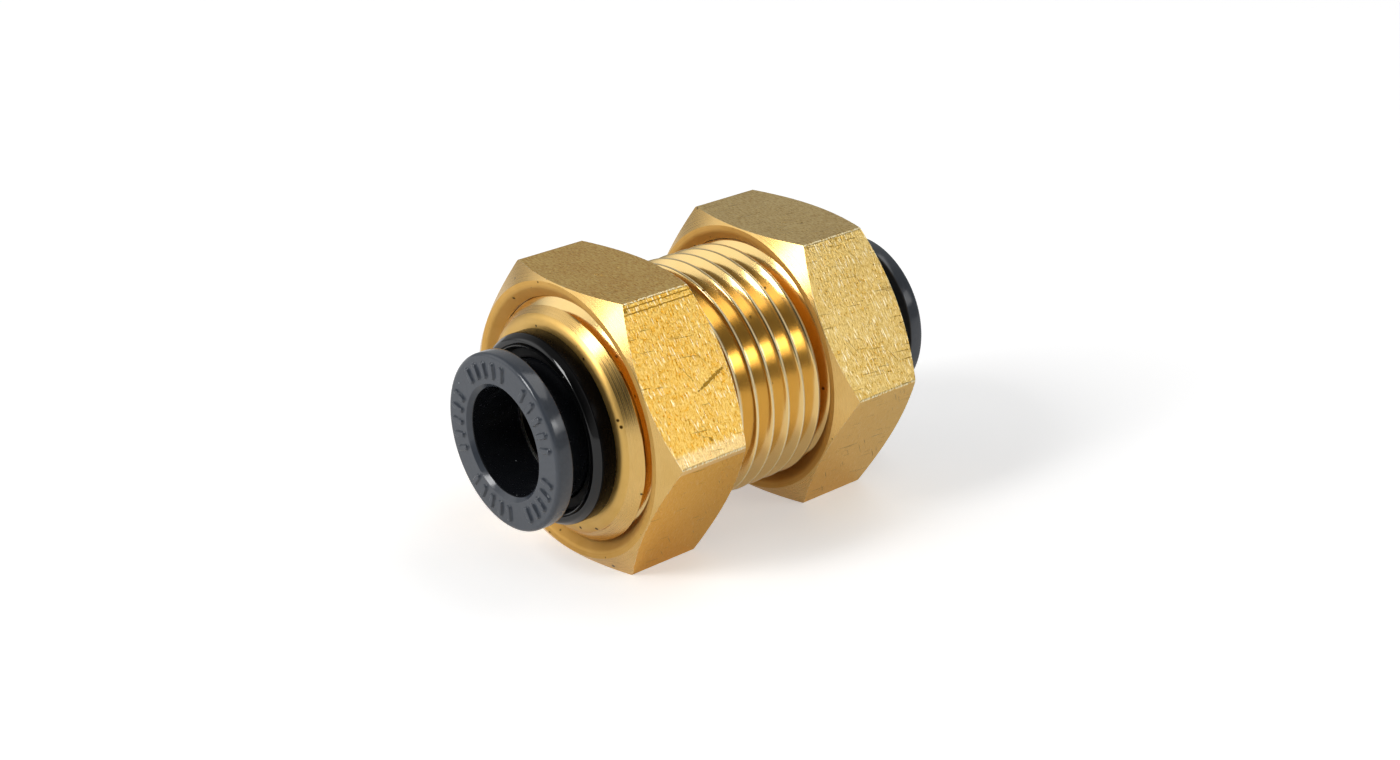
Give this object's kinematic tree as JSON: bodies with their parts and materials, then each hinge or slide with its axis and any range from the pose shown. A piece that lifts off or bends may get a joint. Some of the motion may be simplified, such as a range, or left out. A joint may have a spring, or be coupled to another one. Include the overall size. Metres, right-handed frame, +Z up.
{
  "type": "bulkhead tank connector",
  "caption": "Threaded brass connector with a push-in tube socket at each end and hex nuts that clamp a tank wall between them.",
  "frame": {"origin": "middle of the body on its axis, half-way between the two tube ends", "axes": "+X along the tube axis, towards the right end; +Z up, with a flat of each nut down"},
  "size_m": [0.0428, 0.0294, 0.0254],
  "materials": {
    "turned_brass": "turned, bright",
    "drawn_brass": "drawn bar, satin with fine scratches",
    "black_guide": "moulded, glossy",
    "grey_button": "moulded, satin",
    "chuck_steel": "stamped, bright",
    "collet_resin": "moulded, satin",
    "seal_rubber": "moulded, matt"
  },
  "bodies": {
    "fitting": {"brass_body": "turned_brass", "left_guide": "black_guide", "left_tube_seal": "seal_rubber", "right_guide": "black_guide", "right_tube_seal": "seal_rubber"},
    "left_button": {"left_release_button": "grey_button", "left_collet": "collet_resin", "left_chuck": "chuck_steel"},
    "left_nut": {"left_nut": "drawn_brass"},
    "right_button": {"right_release_button": "grey_button", "right_collet": "collet_resin", "right_chuck": "chuck_steel"},
    "right_nut": {"right_nut": "drawn_brass"}
  },
  "joints": [
    {"name": "left_button_press", "type": "slide", "parent": "fitting", "child": "left_button", "axis": [1, 0, 0], "range_m": [0, 0.00165], "stiffness_N_per_m": 800},
    {"name": "left_nut_run", "type": "slide", "parent": "fitting", "child": "left_nut", "axis": [1, 0, 0], "range_m": [-0.00726, 0.00544]},
    {"name": "right_button_press", "type": "slide", "parent": "fitting", "child": "right_button", "axis": [-1, 0, 0], "range_m": [0, 0.00165], "stiffness_N_per_m": 800},
    {"name": "right_nut_run", "type": "slide", "parent": "fitting", "child": "right_nut", "axis": [-1, 0, 0], "range_m": [-0.00726, 0.00544]}
  ]
}
